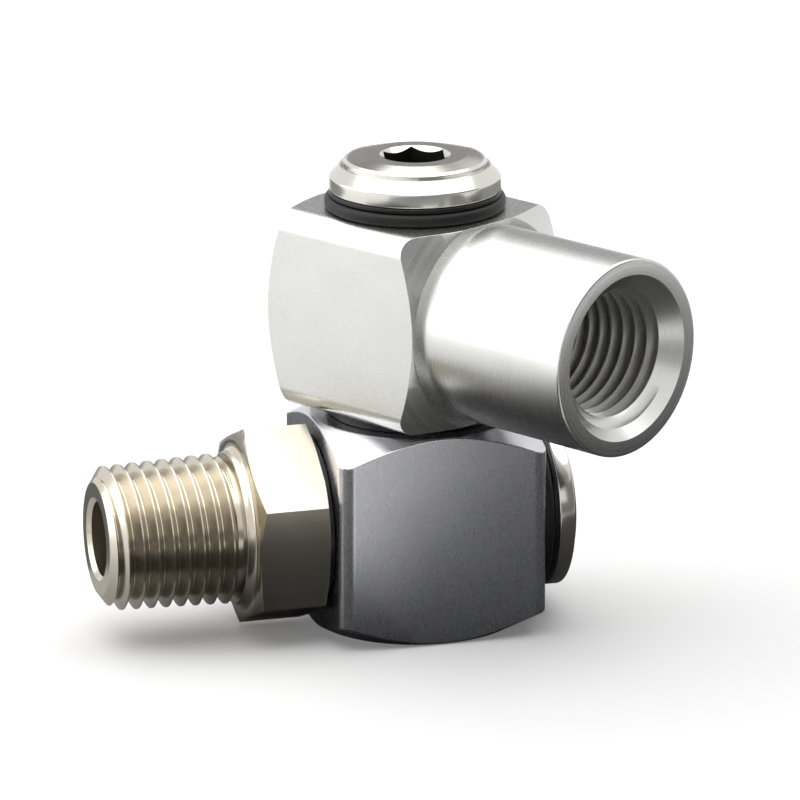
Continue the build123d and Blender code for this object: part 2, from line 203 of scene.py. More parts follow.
class FinishColours(bpy.types.PropertyGroup):
    """Colours and roughness of the visible finishes."""

    body_nickel: colour_prop("Body nickel", "Satin nickel on the port body", "#D4D4D1")
    block_nickel: colour_prop("Block nickel", "Satin nickel on the centre block", "#D0D0D5")
    adapter_nickel: colour_prop("Adapter nickel", "Warm nickel on the adapter", "#CEC7B8")
    head_nickel: colour_prop("Head nickel", "Bright nickel on the screw heads", "#D6D4CC")
    # The socket's dark colour is painted shade, far darker than bare steel.
    socket_painted_shade: colour_prop("Socket steel", "Unpolished walls of the hexagon sockets", "#302F2D")
    rubber: colour_prop("Rubber", "Nitrile rubber rings", "#111110")
    acetal: colour_prop("Acetal", "Black acetal washers", "#121212")
    bronze: colour_prop("Bronze", "Sintered bronze bushes", "#B58A57")
    ptfe: colour_prop("PTFE", "Backup rings behind the O-rings", "#E8E6DF")
    satin: rough_prop("Satin", "Roughness of the satin nickel", 0.28)
    bright: rough_prop("Bright", "Roughness of the turned heads", 0.17)
    turned: rough_prop("Turned", "Roughness of the adapter", 0.22)


class StudioSetup(bpy.types.PropertyGroup):
    """Camera and lights."""

    azimuth: angle_prop("Azimuth", "Camera's turn about the object", -16.54)
    elevation: angle_prop("Elevation", "Camera's height over the object as an angle", 16.5)
    distance: FloatProperty(
        name="Distance", description="Camera to the object's middle", default=0.6, unit="LENGTH"
    )
    lens: FloatProperty(
        name="Lens", description="Focal length in millimetres", default=289.7, unit="CAMERA"
    )
    shift_x: FloatProperty(name="Shift X", description="Camera's shift sideways", default=-0.0188)
    shift_y: FloatProperty(name="Shift Y", description="Camera's shift upwards", default=0.0105)
    floor: colour_prop("Floor", "Pale studio floor", "#F4F4F4")
    floor_glow: level_prop("Floor glow", "The floor's own light round the object", 0.12)
    far_glow: level_prop("Far glow", "The floor's own light beyond the lamps", 0.75)
    fill: level_prop("Fill", "Strength of the surroundings as a light", 0.2)
    top_level: level_prop("Top level", "Brightness of the overhead soft box", 1.7)
    left_level: level_prop("Left level", "Brightness of the soft box at the left", 1.7)
    turn_steps: IntProperty(
        name="Turning steps", description="Facets round each turned surface", default=144, min=24
    )


# --- frames: local z runs along each axis, out of the object --------------------------------


def frame_matrix(origin, x_axis, z_axis):
    """Matrix from a piece's own turning axis to its place on the fitting."""
    x_axis = Vector(x_axis).normalized()
    z_axis = Vector(z_axis).normalized()
    y_axis = z_axis.cross(x_axis)
    turn = Matrix((x_axis, y_axis, z_axis)).transposed().to_4x4()
    return Matrix.Translation(Vector(origin)) @ turn


PORT_FRAME = frame_matrix((0, 0, PORT_AXIS_HEIGHT), PORT_ACROSS, PORT_DIRECTION)
MALE_FRAME = frame_matrix((ADAPTER_HIGH.x, 0, STEM_HEIGHT), (0, -1, 0), (-1, 0, 0))
TOP_FRAME = Matrix.Translation((0, 0, PORT_HIGH.z))
SIDE_FRAME = frame_matrix((BLOCK_HIGH.x, 0, STEM_HEIGHT), (0, 1, 0), (1, 0, 0))


# --- modelling -------------------------------------------------------------------------------


def select_only(*pieces):
    """Nothing but these pieces is selected, and the first is active."""
    if bpy.context.mode != "OBJECT":
        bpy.ops.object.mode_set(mode="OBJECT")
    bpy.ops.object.select_all(action="DESELECT")
    for piece in pieces:
        piece.select_set(True)
    if pieces:
        bpy.context.view_layer.objects.active = pieces[0]


def soften(outline):
    """Rounds each corner of an outline that has a radius: (radius, height, rounding)."""
    segments = 5
    points = []
    count = len(outline)
    for i, corner in enumerate(outline):
        here = Vector(corner[:2])
        if len(corner) < 3:
            points.append(here)
            continue
        back = (Vector(outline[i - 1][:2]) - here).normalized()
        ahead = (Vector(outline[(i + 1) % count][:2]) - here).normalized()
        half = back.angle(ahead) / 2
        run = corner[2] / tan(half)
        centre = here + (back + ahead).normalized() * corner[2] / sin(half)
        first = here + back * run - centre
        last = here + ahead * run - centre
        turn = atan2(first.x * last.y - first.y * last.x, first.dot(last))
        for step in range(segments + 1):
            angle = turn * step / segments
            spoke = Vector((
                first.x * cos(angle) - first.y * sin(angle),
                first.x * sin(angle) + first.y * cos(angle),
            ))
            points.append(centre + spoke)
    return points


def draw_outline(name, points):
    """Extrudes one vertex from point to point in the XZ plane, and stays in edit mode."""
    select_only()
    bpy.ops.mesh.primitive_plane_add(size=MM)
    piece = bpy.context.active_object
    piece.name = name
    bpy.ops.object.mode_set(mode="EDIT")
    bpy.ops.mesh.select_mode(type="VERT")
    bpy.ops.mesh.select_all(action="SELECT")
    bpy.ops.mesh.merge(type="CENTER")
    bpy.ops.transform.translate(value=(points[0][0], 0, points[0][1]))
    for here, there in zip(points, points[1:]):
        step = (there[0] - here[0], 0, there[1] - here[1])
        bpy.ops.mesh.extrude_vertices_move(TRANSFORM_OT_translate={"value": step})
    return piece


def close_surface():
    """In edit mode: doubles merged and normals outward."""
    bpy.ops.mesh.select_all(action="SELECT")
    bpy.ops.mesh.remove_doubles(threshold=MERGE_DISTANCE)
    bpy.ops.mesh.normals_make_consistent(inside=False)
    # The recalculation can still choose inwards, which the signed volume shows.
    if bmesh.from_edit_mesh(bpy.context.edit_object.data).calc_volume(signed=True) < 0:
        bpy.ops.mesh.flip_normals()
    bpy.ops.object.mode_set(mode="OBJECT")


def turned(name, outline, steps=None):
    """Spins an outline about Z. One that starts off the axis is a closed ring section."""
    points = soften(outline)
    if points[0][0] > 0:
        points.append(points[0])
    piece = draw_outline(name, points)
    steps = steps or bpy.context.scene.swivel_studio.turn_steps
    bpy.ops.mesh.select_all(action="SELECT")
    bpy.ops.mesh.spin(steps=steps, angle=2 * pi, center=(0, 0, 0), axis=(0, 0, 1))
    close_surface()
    return piece


def square_bar(name, width, height, low, high, edge_round):
    """Bar along Z with rounded long edges."""
    select_only()
    bpy.ops.mesh.primitive_cube_add(size=1, location=(0, 0, (low + high) / 2))
    piece = bpy.context.active_object
    piece.name = name
    piece.scale = (width, height, high - low)
    bpy.ops.object.transform_apply(location=True, rotation=True, scale=True)
    bpy.ops.object.mode_set(mode="EDIT")
    bpy.ops.mesh.select_mode(type="EDGE")
    bpy.ops.mesh.select_all(action="DESELECT")
    bpy.ops.object.mode_set(mode="OBJECT")
    for edge in piece.data.edges:
        start, end = (piece.data.vertices[i].co for i in edge.vertices)
        edge.select = abs(start.z - end.z) > (high - low) / 2
    bpy.ops.object.mode_set(mode="EDIT")
    bpy.ops.mesh.bevel(offset=edge_round, segments=10, affect="EDGES")
    close_surface()
    return piece


def hexagon_bar(name, across, low, high, turn=0):
    """Hexagonal bar along Z, one corner at the given turn from local X."""
    select_only()
    bpy.ops.mesh.primitive_cylinder_add(
        vertices=6, radius=across / sqrt(3), depth=high - low, location=(0, 0, (low + high) / 2)
    )
    piece = bpy.context.active_object
    piece.name = name
    bpy.ops.object.transform_apply(location=True, rotation=True, scale=True)
    corner = piece.data.vertices[0].co
    piece.matrix_world = Matrix.Rotation(turn - atan2(corner.y, corner.x), 4, "Z")
    bpy.ops.object.transform_apply(location=True, rotation=True, scale=True)
    return piece


def combine(piece, tool, operation):
    """Boolean of a piece with a tool that is then thrown away."""
    select_only(piece)
    modifier = piece.modifiers.new("combine", "BOOLEAN")
    modifier.operation = operation
    modifier.object = tool
    modifier.solver = "EXACT"
    modifier.material_mode = "TRANSFER"
    bpy.ops.object.modifier_apply(modifier=modifier.name)
    if not piece.data.polygons:
        raise RuntimeError(f"{operation} with {tool.name} leaves nothing of {piece.name}")
    bpy.data.objects.remove(tool)
    return piece


def break_edges(piece, width):
    """Small rounds on the machined corners."""
    select_only(piece)
    modifier = piece.modifiers.new("edge_break", "BEVEL")
    modifier.width = width
    modifier.segments = 3
    modifier.limit_method = "ANGLE"
    modifier.angle_limit = radians(20)
    bpy.ops.object.modifier_apply(modifier=modifier.name)
    return piece


def check_closed(piece):
    """Stops the script where a piece has an open or a shared edge."""
    solid = bmesh.new()
    solid.from_mesh(piece.data)
    faults = sum(not edge.is_manifold for edge in solid.edges)
    solid.free()
    if faults:
        raise RuntimeError(f"{piece.name} isn't closed: {faults} edges")


def finish_piece(piece, place, body, slot, *nodes):
    select_only(piece)
    piece.matrix_world = place
    bpy.ops.object.transform_apply(location=True, rotation=True, scale=True)
    bpy.ops.object.mode_set(mode="EDIT")
    close_surface()
    check_closed(piece)
    bpy.ops.object.shade_smooth_by_angle(angle=radians(32))
    modifier = piece.modifiers.new("flat_faces", "WEIGHTED_NORMAL")
    modifier.keep_sharp = True
    modifier.weight = 80
    bpy.ops.object.modifier_apply(modifier=modifier.name)
    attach(piece, body)
    if nodes:
        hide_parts(*nodes)
    return piece


def turned_blank(name, low, high, corner, low_face, high_face, slope):
    """Drum with a cone at each end, which a bar's turned ends stay inside."""
    return turned(name, [
        (0, low),
        (low_face, low),
        (corner, low + (corner - low_face) * tan(slope)),
        (corner, high - (corner - high_face) * tan(slope)),
        (high_face, high),
        (0, high),
    ])


def threaded_core(name, start_radius, length):
    """Right-hand taper thread about Z, widest at z = 0, as a closed solid."""
    thread = bpy.context.scene.swivel_thread
    overrun = 2 * thread.pitch
    root = start_radius - thread.depth
    crest_from = (thread.pitch - thread.crest_flat) / 2
    points = [
        (root, -overrun),
        (root, thread.root_flat / 2 - overrun),
        (start_radius, crest_from - overrun),
        (start_radius, crest_from + thread.crest_flat - overrun),
        (root, thread.pitch - thread.root_flat / 2 - overrun),
        (root, thread.pitch - overrun),
    ]
    piece = draw_outline(name, points)
    bpy.ops.object.mode_set(mode="OBJECT")
    modifier = piece.modifiers.new("thread", "SCREW")
    modifier.axis = "Z"
    modifier.angle = 2 * pi
    modifier.screw_offset = thread.pitch
    modifier.iterations = ceil((length + 2 * overrun) / thread.pitch)
    modifier.steps = modifier.render_steps = 96
    bpy.ops.object.modifier_apply(modifier=modifier.name)
    # The taper: each point moves in by its height, in proportion to its radius.
    for vertex in piece.data.vertices:
        radius = sqrt(vertex.co.x ** 2 + vertex.co.y ** 2)
        share = 1 - vertex.co.z * thread.taper / radius
        vertex.co.x *= share
        vertex.co.y *= share
    bpy.ops.object.mode_set(mode="EDIT")
    bpy.ops.mesh.select_all(action="SELECT")
    bpy.ops.mesh.remove_doubles(threshold=MERGE_DISTANCE)
    for height, keep in ((0, "inner"), (length, "outer")):
        bpy.ops.mesh.select_all(action="SELECT")
        bpy.ops.mesh.bisect(
            plane_co=(0, 0, height), plane_no=(0, 0, 1), threshold=1e-7,
            use_fill=True, clear_inner=keep == "inner", clear_outer=keep == "outer",
        )
    close_surface()
    return piece


# --- finishes ---------------------------------------------------------------------------------


def add_node(tree, kind, links=None, **settings):
    """A shader node with its settings, and its inputs set or linked."""
    node = tree.nodes.new(kind)
    for key, value in settings.items():
        setattr(node, key, value)
    for key, value in (links or {}).items():
        if isinstance(value, bpy.types.NodeSocket):
            tree.links.new(value, node.inputs[key])
        else:
            node.inputs[key].default_value = value
    return node


def new_material(name, colour, roughness, metallic):
    """A Principled material, its uniform values on the shader's own sockets."""
    material = bpy.data.materials.new(name)
    material.use_nodes = True
    material.diffuse_color = (*colour, 1)
    shader = material.node_tree.nodes["Principled BSDF"]
    shader.inputs["Base Color"].default_value = (*colour, 1)
    shader.inputs["Roughness"].default_value = roughness
    shader.inputs["Metallic"].default_value = metallic
    return material, material.node_tree, shader


def own_coordinates(tree, place):
    """Object coordinates in the piece's own frame, where z runs along its axis."""
    coordinates = add_node(tree, "ShaderNodeTexCoord")
    centred = add_node(
        tree, "ShaderNodeVectorMath",
        {0: coordinates.outputs["Object"], 1: tuple(-place.translation)}, operation="ADD",
    )
    back = place.to_3x3().inverted().to_euler()
    return add_node(
        tree, "ShaderNodeMapping", {"Vector": centred.outputs[0], "Rotation": back}
    ).outputs[0]


def satin_grain(tree, vector, spacing, stretch):
    """Noise drawn out along z by stretch, its strokes this far apart."""
    scaled = add_node(
        tree, "ShaderNodeVectorMath",
        {0: vector, 1: (1 / spacing, 1 / spacing, 1 / (spacing * stretch))}, operation="MULTIPLY",
    )
    return add_node(
        tree, "ShaderNodeTexNoise",
        {"Vector": scaled.outputs[0], "Scale": 1.0, "Detail": 1.0, "Roughness": 0.5},
    ).outputs[0]


def turning_marks(tree, vector, feed):
    """Rings about z: one value for each radius and height, as a lathe tool leaves them."""
    flat = add_node(
        tree, "ShaderNodeVectorMath", {0: vector, 1: (1, 1, 0)}, operation="MULTIPLY"
    )
    radius = add_node(tree, "ShaderNodeVectorMath", {0: flat.outputs[0]}, operation="LENGTH")
    split = add_node(tree, "ShaderNodeSeparateXYZ", {0: vector})
    along = add_node(
        tree, "ShaderNodeMath", {0: radius.outputs["Value"], 1: split.outputs[2]}, operation="ADD"
    )
    rings = add_node(
        tree, "ShaderNodeMath", {0: along.outputs[0], 1: 1 / feed}, operation="MULTIPLY"
    )
    return add_node(
        tree, "ShaderNodeTexNoise",
        {"W": rings.outputs[0], "Scale": 1.0, "Detail": 2.0, "Roughness": 0.7},
        noise_dimensions="1D",
    ).outputs[0]


def spread(tree, value, low, high):
    """Maps a noise value of about 0.3 to 0.7 onto low to high."""
    return add_node(
        tree, "ShaderNodeMapRange",
        {0: value, 1: 0.3, 2: 0.7, 3: low, 4: high},
    ).outputs[0]


def tint(tree, colour, value, low, high):
    """The colour made lighter or darker by a noise value."""
    level = spread(tree, value, low, high)
    return add_node(
        tree, "ShaderNodeVectorMath", {0: colour, "Scale": level}, operation="SCALE"
    ).outputs[0]


def emboss(tree, shader, height, distance, strength):
    """Bump of a real height in metres on the shader's normal."""
    bump = add_node(
        tree, "ShaderNodeBump", {"Height": height, "Distance": distance, "Strength": strength}
    )
    tree.links.new(bump.outputs[0], shader.inputs["Normal"])


def bar_nickel(name, colour, roughness, place):
    """Satin nickel over drawn bar: fine strokes along the bar under a soft sheen."""
    material, tree, shader = new_material(name, colour, roughness, 1.0)
    vector = own_coordinates(tree, place)
    # Drawing lines are a few hundredths of a millimetre apart; drawn coarser so they show.
    strokes = satin_grain(tree, vector, 0.16 * MM, stretch=4)
    clouds = satin_grain(tree, vector, 4 * MM, stretch=1)
    gloss = spread(tree, strokes, roughness - 0.015, roughness + 0.015)
    tree.links.new(gloss, shader.inputs["Roughness"])
    tree.links.new(tint(tree, colour, clouds, 0.98, 1.02), shader.inputs["Base Color"])
    emboss(tree, shader, strokes, 0.0004 * MM, 0.5)
    return material


def turned_metal(name, colour, roughness, place):
    """Bare or nickelled metal off the lathe: rings about the axis that stretch each highlight."""
    material, tree, shader = new_material(name, colour, roughness, 1.0)
    vector = own_coordinates(tree, place)
    # A finishing cut feeds about 0.1 mm a turn; drawn about twice as coarse so it shows.
    rings = turning_marks(tree, vector, 0.22 * MM)
    clouds = satin_grain(tree, vector, 3 * MM, stretch=1)
    gloss = spread(tree, rings, roughness - 0.02, roughness + 0.03)
    tree.links.new(gloss, shader.inputs["Roughness"])
    tree.links.new(tint(tree, colour, clouds, 0.98, 1.02), shader.inputs["Base Color"])
    emboss(tree, shader, rings, 0.001 * MM, 0.5)
    return material


def soft_ring(name, colour, roughness, grain):
    """Rubber or plastic ring: dull black with a fine moulded grain."""
    material, tree, shader = new_material(name, colour, roughness, 0.0)
    shader.inputs["Specular IOR Level"].default_value = 0.35
    vector = add_node(tree, "ShaderNodeTexCoord").outputs["Object"]
    # The grain is the mould's or the cutter's, a tenth or two of a millimetre apart.
    speckle = satin_grain(tree, vector, grain, stretch=1)
    gloss = spread(tree, speckle, roughness - 0.06, roughness + 0.08)
    tree.links.new(gloss, shader.inputs["Roughness"])
    tree.links.new(tint(tree, colour, speckle, 0.8, 1.25), shader.inputs["Base Color"])
    emboss(tree, shader, speckle, 0.01 * MM, 0.4)
    return material


def wear(piece, *materials):
    """The piece's material slots, in order."""
    piece.data.materials.clear()
    for material in materials:
        piece.data.materials.append(material)
    return piece


# --- pieces ------------------------------------------------------------------------------------


def bar_corner(width, height, edge_round):
    """Largest radius of a rectangular bar with rounded long edges."""
    inner = Vector((width / 2 - edge_round, height / 2 - edge_round))
    return inner.length + edge_round


def bush_bore(name, length, bush_length):
    """Cutter for a swivel bore along Z, opened at each end for a bush."""
    bore = JOURNAL_RADIUS + RUNNING_CLEARANCE
    bush = bore + BUSH_WALL
    return turned(name, [
        (0, -length - MM),
        (bush, -length - MM),
        (bush, bush_length - length),
        (bore, bush_length - length),
        (bore, -bush_length),
        (bush, -bush_length),
        (bush, MM),
        (0, MM),
    ], steps=64)


class MESH_OT_swivel_block(bpy.types.Operator):
    """Square centre block with turned ends and the side joint's bore"""

    bl_idname = "mesh.swivel_block"
    bl_label = "Centre block"

    def execute(self, context):
        bars = context.scene.swivel_bars
        finish = context.scene.swivel_finish
        width, height = BLOCK_SIZE.x, BLOCK_SIZE.z
        corner = bar_corner(width, width, bars.edge_round)
        upright = Matrix.Identity(4)
        block = square_bar("centre_block_body", width, width, 0, height, bars.edge_round)
        wear(block, bar_nickel("satin_nickel_bar", finish.block_nickel, finish.satin, upright))
        blank = turned_blank(
            "block_blank", 0, height, corner, bars.block_face, bars.block_face, bars.turned_angle
        )
        wear(blank, turned_metal("satin_nickel_turned", finish.block_nickel, finish.satin, upright))
        combine(block, blank, "INTERSECT")
        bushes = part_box("side_outer_bush")
        bore = bush_bore("side_bore", width, bushes[1].x - bushes[0].x)
        bore.matrix_world = SIDE_FRAME
        combine(block, bore, "DIFFERENCE")
        break_edges(block, bars.edge_break)
        finish_piece(block, upright, "centre_block", "satin_nickel", "centre_block")
        return {"FINISHED"}


class MESH_OT_swivel_port_body(bpy.types.Operator):
    """Port body: square bar with turned ends, round boss and threaded female port"""

    bl_idname = "mesh.swivel_port_body"
    bl_label = "Port body"

    def execute(self, context):
        bars = context.scene.swivel_bars
        thread = context.scene.swivel_thread
        finish = context.scene.swivel_finish
        height = PORT_HIGH.z - PORT_LOW.z
        half = bars.port_length / 2
        corner = bar_corner(bars.port_width, height, bars.port_round)
        bar_finish = bar_nickel("port_nickel_bar", finish.body_nickel, finish.satin, PORT_FRAME)
        lathe_finish = turned_metal("port_nickel_turned", finish.body_nickel, finish.satin, PORT_FRAME)
        body = square_bar("port_body_shell", bars.port_width, height, -half, half, bars.port_round)
        wear(body, bar_finish)
        blank = turned_blank(
            "port_blank", -half, half, corner, bars.port_face, bars.port_face, bars.turned_angle
        )
        combine(body, wear(blank, lathe_finish), "INTERSECT")
        break_edges(body, bars.edge_break)
        boss = turned("port_boss", [
            (0, half - 2 * MM),
            (bars.boss_radius, half - 2 * MM),
            (bars.boss_radius, bars.boss_reach, bars.boss_round),
            (0, bars.boss_reach),
        ])
        combine(body, wear(boss, lathe_finish), "UNION")
        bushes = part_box("top_outer_bush")
        bore = bush_bore("top_bore", height, bushes[1].z - bushes[0].z)
        bore.matrix_world = PORT_FRAME.inverted() @ TOP_FRAME
        combine(body, wear(bore, lathe_finish), "DIFFERENCE")
        run_out, drill_point = 1.1 * MM, 1.7 * MM
        bottom = bars.boss_reach - thread.female_depth - run_out
        passage = turned("port_passage", [
            (0, 0),
            (bars.waterway_radius, 0),
            (bars.waterway_radius, bottom - drill_point),
            (bars.tap_drill, bottom),
            (bars.tap_drill, bars.boss_reach - bars.mouth_depth),
            (bars.mouth_radius, bars.boss_reach + OVERCUT),
            (0, bars.boss_reach + OVERCUT),
        ])
        combine(body, wear(passage, lathe_finish), "DIFFERENCE")
        tap = threaded_core("port_tap", thread.female_radius, thread.female_depth)
        tap.matrix_world = frame_matrix((0, 0, bars.boss_reach), (1, 0, 0), (0, 0, -1))
        combine(body, wear(tap, lathe_finish), "DIFFERENCE")
        finish_piece(body, PORT_FRAME, "port_body", "satin_nickel", "port_body")
        return {"FINISHED"}


class MESH_OT_swivel_adapter(bpy.types.Operator):
    """Male adapter: hexagon, neck and taper pipe thread, bored through"""

    bl_idname = "mesh.swivel_adapter"
    bl_label = "Male adapter"

    def execute(self, context):
        sizes = context.scene.swivel_adapter
        thread = context.scene.swivel_thread
        finish = context.scene.swivel_finish
        length = ADAPTER_HIGH.x - ADAPTER_LOW.x
        corner = sizes.hex_across / sqrt(3)
        flat_finish = bar_nickel("adapter_nickel_bar", finish.adapter_nickel, finish.turned, MALE_FRAME)
        lathe_finish = turned_metal(
            "adapter_nickel_turned", finish.adapter_nickel, finish.turned, MALE_FRAME
        )
        adapter = hexagon_bar("male_adapter_hex", sizes.hex_across, 0, sizes.hex_length, sizes.hex_turn)
        wear(adapter, flat_finish)
        blank = turned_blank(
            "hex_blank", 0, sizes.hex_length, corner, sizes.hex_inner, sizes.hex_face, sizes.hex_slope
        )
        combine(adapter, wear(blank, lathe_finish), "INTERSECT")
        break_edges(adapter, sizes.edge_break)
        thread_from = sizes.hex_length + sizes.neck_length
        spigot = threaded_core("spigot", thread.male_radius, length - thread_from)
        spigot.matrix_world = Matrix.Translation((0, 0, thread_from))
        select_only(spigot)
        bpy.ops.object.transform_apply(location=True, rotation=True, scale=True)
        wear(spigot, lathe_finish)
        lead = turned("lead_chamfer", [
            (0, thread_from - MM),
            (thread.male_radius + MM, thread_from - MM),
            (thread.male_radius + MM, length - sizes.lead_length),
            (thread.male_radius, length - sizes.lead_length),
            (sizes.tip_radius, length, sizes.tip_round),
            (0, length),
        ])
        combine(spigot, wear(lead, lathe_finish), "INTERSECT")
        neck_foot = sizes.neck_radius + sizes.neck_fillet
        neck = turned("neck", [
            (0, sizes.hex_length - 0.5 * MM),
            (neck_foot, sizes.hex_length - 0.5 * MM),
            (neck_foot, sizes.hex_length),
            (sizes.neck_radius, sizes.hex_length, sizes.neck_fillet - 0.02 * MM),
            (sizes.neck_radius, thread_from - 0.5 * MM, 0.12 * MM),
            (sizes.groove_radius, thread_from - 0.35 * MM),
            (sizes.groove_radius, thread_from + 0.15 * MM),
            (0, thread_from + 0.15 * MM),
        ])
        combine(spigot, wear(neck, lathe_finish), "UNION")
        combine(adapter, spigot, "UNION")
        waterway = turned("waterway", [
            (0, -MM),
            (sizes.screw_hole, -MM),
            (sizes.screw_hole, sizes.screw_hole_depth),
            (sizes.waterway_radius, sizes.screw_hole_depth + 0.4 * MM),
            (sizes.waterway_radius, length - 0.4 * MM),
            (sizes.waterway_radius + 0.6 * MM, length + 0.2 * MM),
            (0, length + 0.2 * MM),
        ], steps=96)
        combine(adapter, wear(waterway, lathe_finish), "DIFFERENCE")
        finish_piece(adapter, MALE_FRAME, "male_stem", "plated_steel", "male_adapter")
        return {"FINISHED"}


def swivel_head(name, place, shoulder, tip, wall, top, body, node):
    """Socket-headed swivel screw: flange, rim and raised crown over a plain journal."""
    head = bpy.context.scene.swivel_head
    finish = bpy.context.scene.swivel_finish
    groove_top = top - head.rim_depth
    wall_top = groove_top + head.rim_wall
    shoulder_top = wall_top + 0.7 * head.rim_chamfer
    bright = turned_metal(name + "_bright_nickel", finish.head_nickel, finish.bright, place)
    # Broached steel that no polish reaches, so the socket's walls stay dull; their dark colour is painted shade
    # for the recess.
    dark = new_material("painted_shade_socket_walls", finish.socket_painted_shade, 0.5, 1.0)[0]
    screw = turned(name, [
        (0, tip),
        (head.thread_radius - head.tip_chamfer, tip),
        (head.thread_radius, tip + head.tip_chamfer),
        (head.thread_radius, shoulder - head.undercut_length),
        (head.undercut_radius, shoulder - head.undercut_length),
        (head.undercut_radius, shoulder),
        (JOURNAL_RADIUS, shoulder),
        (JOURNAL_RADIUS, HEAD_STANDOFF),
        (head.flange_radius, HEAD_STANDOFF, 0.22 * MM),
        (head.flange_radius, HEAD_STANDOFF + wall, 0.2 * MM),
        (head.rim_radius + head.rim_step, groove_top, 0.08 * MM),
        (head.rim_radius, groove_top - head.rim_step, 0.05 * MM),
        (head.rim_radius, wall_top, 0.1 * MM),
        (head.rim_radius - head.rim_chamfer, shoulder_top, 0.06 * MM),
        (head.rim_radius - head.rim_chamfer - 0.08 * MM, shoulder_top - 0.05 * MM),
        (head.crown_flat, top, 0.3 * MM),
        (0, top),
    ])
    wear(screw, bright)
    socket = hexagon_bar(
        "socket", head.socket_across, top - head.socket_depth, top + MM, head.socket_turn
    )
    combine(screw, wear(socket, dark), "DIFFERENCE")
    countersink = turned("countersink", [
        (0, top - 0.45 * MM),
        (head.socket_across / 2, top - 0.45 * MM),
        (head.socket_across / sqrt(3) + 0.1 * MM, top + OVERCUT),
        (0, top + OVERCUT),
    ], steps=96)
    combine(screw, wear(countersink, bright), "DIFFERENCE")
    finish_piece(screw, place, body, "bright_nickel", node)


class MESH_OT_swivel_screws(bpy.types.Operator):
    """The two socket-headed swivel screws"""

    bl_idname = "mesh.swivel_screws"
    bl_label = "Swivel screws"

    def execute(self, context):
        head = context.scene.swivel_head
        swivel_head(
            "top_screw", TOP_FRAME, BLOCK_HIGH.z - PORT_HIGH.z, TOP_SCREW_LOW.z - PORT_HIGH.z,
            head.top_wall, TOP_SCREW_HIGH.z - PORT_HIGH.z, "centre_block", "top_swivel_screw",
        )
        swivel_head(
            "side_screw", SIDE_FRAME, ADAPTER_HIGH.x - BLOCK_HIGH.x, SIDE_SCREW_LOW.x - BLOCK_HIGH.x,
            head.side_wall, SIDE_SCREW_HIGH.x - BLOCK_HIGH.x, "male_stem", "side_swivel_screw",
        )
        return {"FINISHED"}


class MESH_OT_swivel_rings(bpy.types.Operator):
    """Dust seals, thrust washers and base washers of both joints"""

    bl_idname = "mesh.swivel_rings"
    bl_label = "Seals and washers"

    def execute(self, context):
        finish = context.scene.swivel_finish
        rubber = soft_ring("nitrile_rubber", finish.rubber, 0.5, 0.15 * MM)
        acetal = soft_ring("black_acetal", finish.acetal, 0.3, 0.1 * MM)
        bore = JOURNAL_RADIUS + RING_CLEARANCE
        for name, material, edge, slot in (
            ("dust_seal", rubber, 0.45 * MM, "black_rubber"),
            ("thrust_washer", acetal, 0.12 * MM, "black_acetal"),
            ("base_washer", acetal, 0.15 * MM, "acetal_dark"),
        ):
            for joint, place, axis, face, inner, outer in (
                ("top", TOP_FRAME, 2, PORT_HIGH.z, "centre_block", "port_body"),
                ("side", SIDE_FRAME, 0, BLOCK_HIGH.x, "male_stem", "centre_block"),
            ):
                node = joint + "_" + name
                ring_low, ring_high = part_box(node)
                low, high = ring_low[axis] - face, ring_high[axis] - face
                radius = ring_high.y  # both joints' axes lie square to Y
                ring = turned(node + "_ring", [
                    (bore, low), (radius, low, edge), (radius, high, edge), (bore, high),
                ])
                body = outer if name == "dust_seal" else inner
                finish_piece(wear(ring, material), place, body, slot, node)
        return {"FINISHED"}


class OBJECT_OT_swivel_inner_parts(bpy.types.Operator):
    """Finishes of the bushes and seals inside the two joints"""

    bl_idname = "object.swivel_inner_parts"
    bl_label = "Inner parts"

    def execute(self, context):
        finish = context.scene.swivel_finish
        bronze = turned_metal("sintered_bronze", finish.bronze, 0.4, Matrix.Identity(4))
        nitrile = soft_ring("moulded_nitrile", finish.rubber, 0.4, 0.12 * MM)
        ptfe = soft_ring("skived_ptfe", finish.ptfe, 0.45, 0.2 * MM)
        finishes = {"bush": bronze, "oring": nitrile, "static_seal": nitrile, "backup_ring": ptfe}
        for name, node in frame["nodes"].items():
            for ending, material in finishes.items():
                if name.endswith(ending):
                    wear(node, material)
        return {"FINISHED"}


# --- studio ------------------------------------------------------------------------------------

LAMP_AIM = Vector((0, 0, 25 * MM))
CAMERA_AIM = Vector((0, 0, 20 * MM))

# Painted reflections: dark cards on the floor that only reflections show, for a dark floor round the fitting.
# Name, size and middle in millimetres, and the greys at the left and right ends.
FLOOR_FLAGS = (
    ("thread_flag", (100, 95), (-62, -57.5), 0.2, 0.03),
    ("under_thread_flag", (58, 33), (-41, 6.5), 0.95, 0.15),
    ("hexagon_flag", (11, 24), (-8, -22), 0.05, 0.05),
    ("tip_flag", (60, 60), (-42, 51), 0.15, 0.1),
    ("behind_left_flag", (130, 220), (-80, 195), 0.25, 0.3),
    ("right_flag", (200, 160), (170, 60), 0.3, 0.4),
    ("far_front_flag", (300, 300), (0, -260), 0.3, 0.45),
)
# Painted reflections of dark surroundings: upright cards that only reflections show.
# Name, size and middle in metres, turn in degrees, and the greys at the left and right ends.
UPRIGHT_FLAGS = (
    ("rear_flag", (0.26, 1.0), (0.19, 0.7, 0.4), 0, 0.5, 0.55),
    ("low_front_flag", (0.32, 0.085), (0.09, -0.35, 0.043), 0, 0.2, 0.25),
    ("side_flag", (0.5, 0.36), (0.33, -0.3, 0.17), 48, 0.22, 0.3),
)


